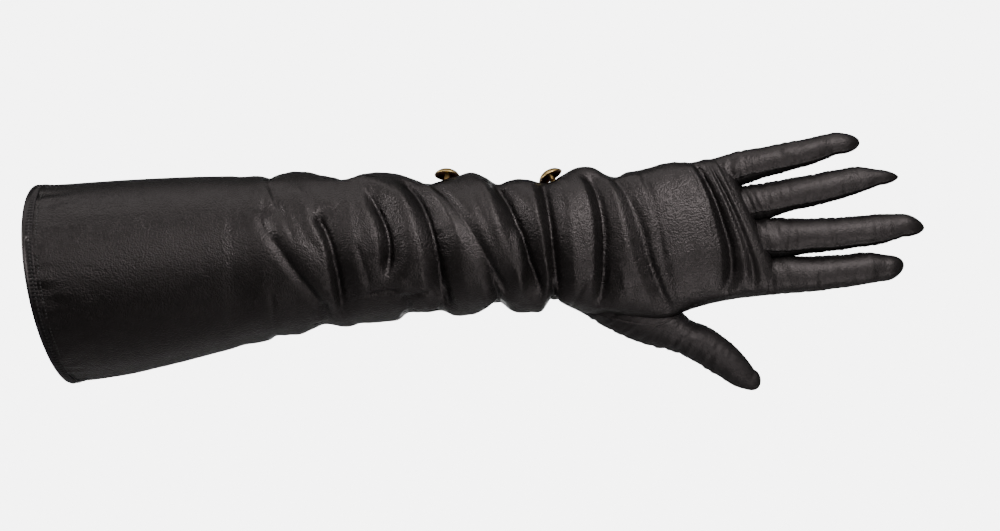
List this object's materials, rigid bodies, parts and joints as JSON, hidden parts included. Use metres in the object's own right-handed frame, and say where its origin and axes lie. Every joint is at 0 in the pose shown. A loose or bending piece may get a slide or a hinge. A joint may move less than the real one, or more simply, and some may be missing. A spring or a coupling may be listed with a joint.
{
  "type": "long leather glove",
  "caption": "Long black leather dress glove for a left hand: a full smooth cuff, a sleeve slouched in diagonal folds, spread fingers and gold shank buttons on the side seam",
  "frame": {"origin": "the middle of the cuff's mouth, where the arm goes in, in the plane of its edge", "axes": "+X runs from the mouth along the arm to the fingertips, +Z points to the little finger's side, away from the thumb, and -Y is the way the back of the hand faces"},
  "size_m": [0.4445, 0.0932, 0.1285],
  "materials": {
    "black_leather": "semi-matt grained black leather with soft highlights on the folds",
    "thumb_leather": "the same leather, a little smoother where it is stretched",
    "side_leather": "smooth black leather of the strips between the fingers",
    "edge_leather": "folded and rolled edge, glossier than the rest",
    "gold_metal": "polished gold-coloured metal"
  },
  "bodies": {
    "root": {"trank": "black_leather", "thumb": "thumb_leather", "fourchette_index_middle": "side_leather", "fourchette_middle_ring": "side_leather", "fourchette_ring_little": "side_leather", "cuff_binding": "edge_leather", "button_forearm": "gold_metal", "button_wrist": "gold_metal"}
  },
  "joints": []
}
